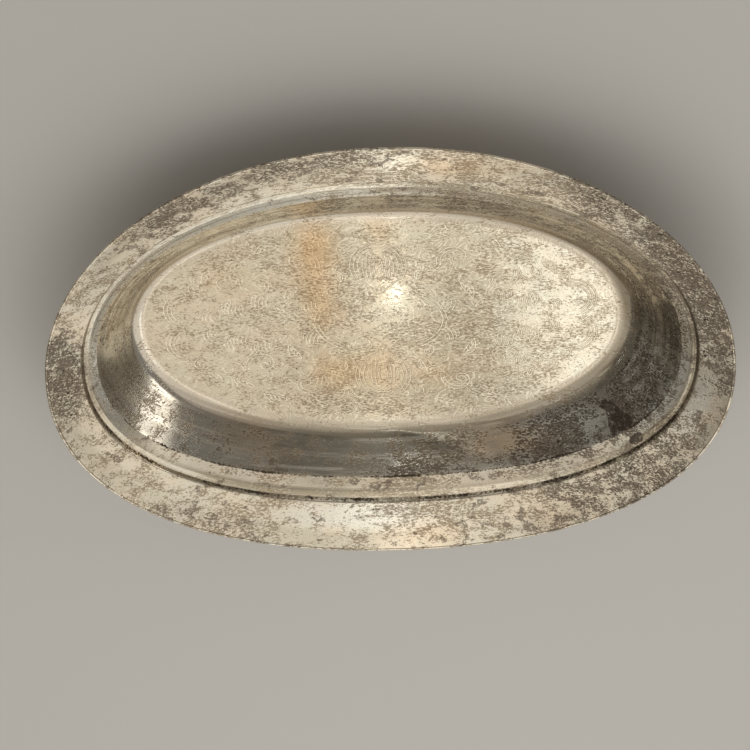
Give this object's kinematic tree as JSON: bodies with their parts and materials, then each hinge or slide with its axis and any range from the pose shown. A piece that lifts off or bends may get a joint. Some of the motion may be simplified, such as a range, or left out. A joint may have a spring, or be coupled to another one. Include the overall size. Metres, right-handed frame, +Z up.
{
  "type": "oval serving tray",
  "caption": "Deep oval serving tray pressed from plated sheet, with a broad dished rim whose ends sweep up, a narrow ledge, a flat-bottomed well and a wire along its edge.",
  "frame": {"origin": "middle of the footprint, on the plane that the tray stands on", "axes": "+X along the tray's length, +Y across its width, +Z up out of the well"},
  "size_m": [0.4004, 0.3002, 0.0564],
  "materials": {
    "plated_sheet": "worn silver plate, speckled with brown-black tarnish",
    "plated_wire": "worn silver plate, brighter than the sheet"
  },
  "bodies": {
    "root": {"pressed_tray": "plated_sheet", "edge_wire": "plated_wire"}
  },
  "joints": []
}
